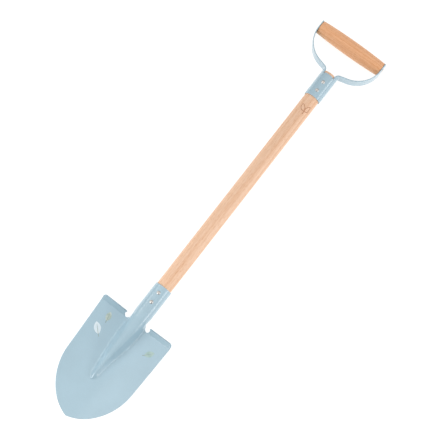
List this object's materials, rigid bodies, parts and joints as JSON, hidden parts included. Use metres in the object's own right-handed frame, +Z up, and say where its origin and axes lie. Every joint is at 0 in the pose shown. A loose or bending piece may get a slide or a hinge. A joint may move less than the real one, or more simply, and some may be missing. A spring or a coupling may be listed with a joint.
{
  "type": "garden spade",
  "caption": "Child-size garden spade: dished round-point steel blade with folded treads and riveted socket, straight round wooden shaft, steel D-yoke with a turned wooden grip on a pin.",
  "frame": {"origin": "under the middle of the spade's length and width, on the surface that it lies on with its back down", "axes": "+X to the right across the blade, +Y along the shaft from the blade's tip to the grip, +Z up out of the blade's hollow front"},
  "size_m": [0.1222, 0.7009, 0.0291],
  "materials": {
    "head_paint": "satin",
    "yoke_paint": "satin",
    "shaft_wood": "clear matte varnish",
    "grip_wood": "clear satin varnish",
    "rivet_steel": "bright zinc"
  },
  "bodies": {
    "spade": {"blade_head": "head_paint", "shaft": "shaft_wood", "handle_yoke": "yoke_paint", "grip_pin": "rivet_steel", "socket_rivets": "rivet_steel", "ferrule_rivets": "rivet_steel"},
    "grip": {"grip": "grip_wood"}
  },
  "joints": [
    {"name": "grip_spin", "type": "hinge", "parent": "spade", "child": "grip", "pos_m": [0, 0.33795, 0.01432], "axis": [1, 0, 0], "continuous": true}
  ]
}
